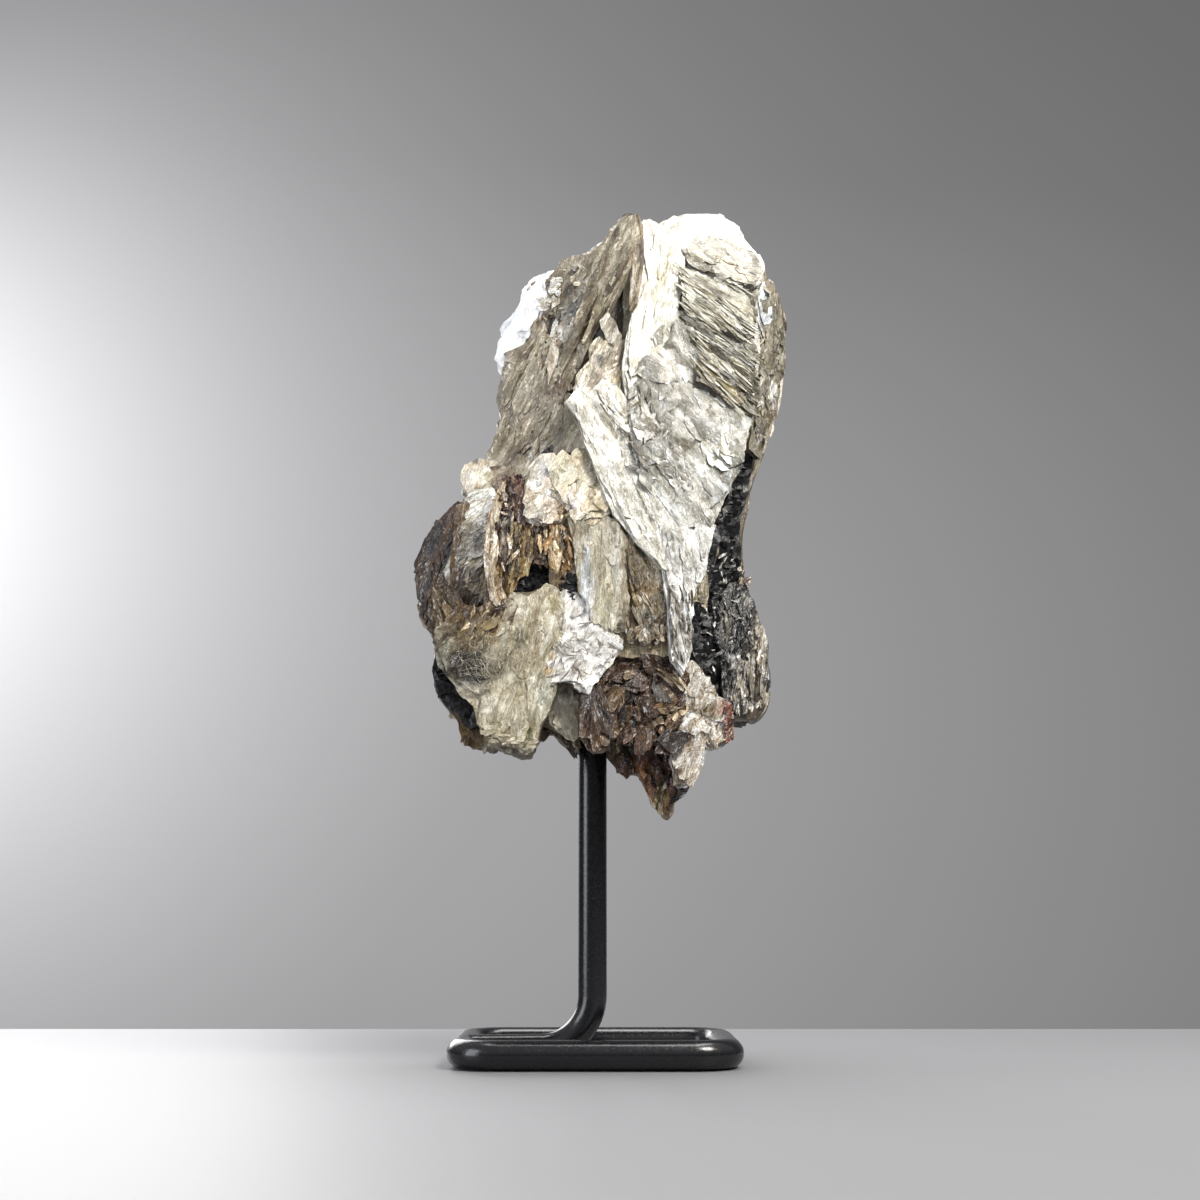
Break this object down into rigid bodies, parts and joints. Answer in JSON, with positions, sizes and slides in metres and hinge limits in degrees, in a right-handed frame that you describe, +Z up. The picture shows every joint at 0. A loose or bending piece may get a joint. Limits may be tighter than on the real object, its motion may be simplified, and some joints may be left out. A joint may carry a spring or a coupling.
{
  "type": "mica specimen on stand",
  "caption": "Cluster of intergrown silvery mica books and plates, held upright on a black bent-rod display stand.",
  "frame": {"origin": "on the table, under the middle of the whole object's box", "axes": "+Z up along the post, -Y towards the front face of the specimen, +X to the viewer's right"},
  "size_m": [0.1082, 0.06, 0.245],
  "materials": {
    "mica": "pearly cleaved sheets, white and silver to tan and brown",
    "black_coat": "gloss black powder coat"
  },
  "bodies": {
    "root": {"rod_stand": "black_coat", "mica_specimen": "mica"}
  },
  "joints": []
}
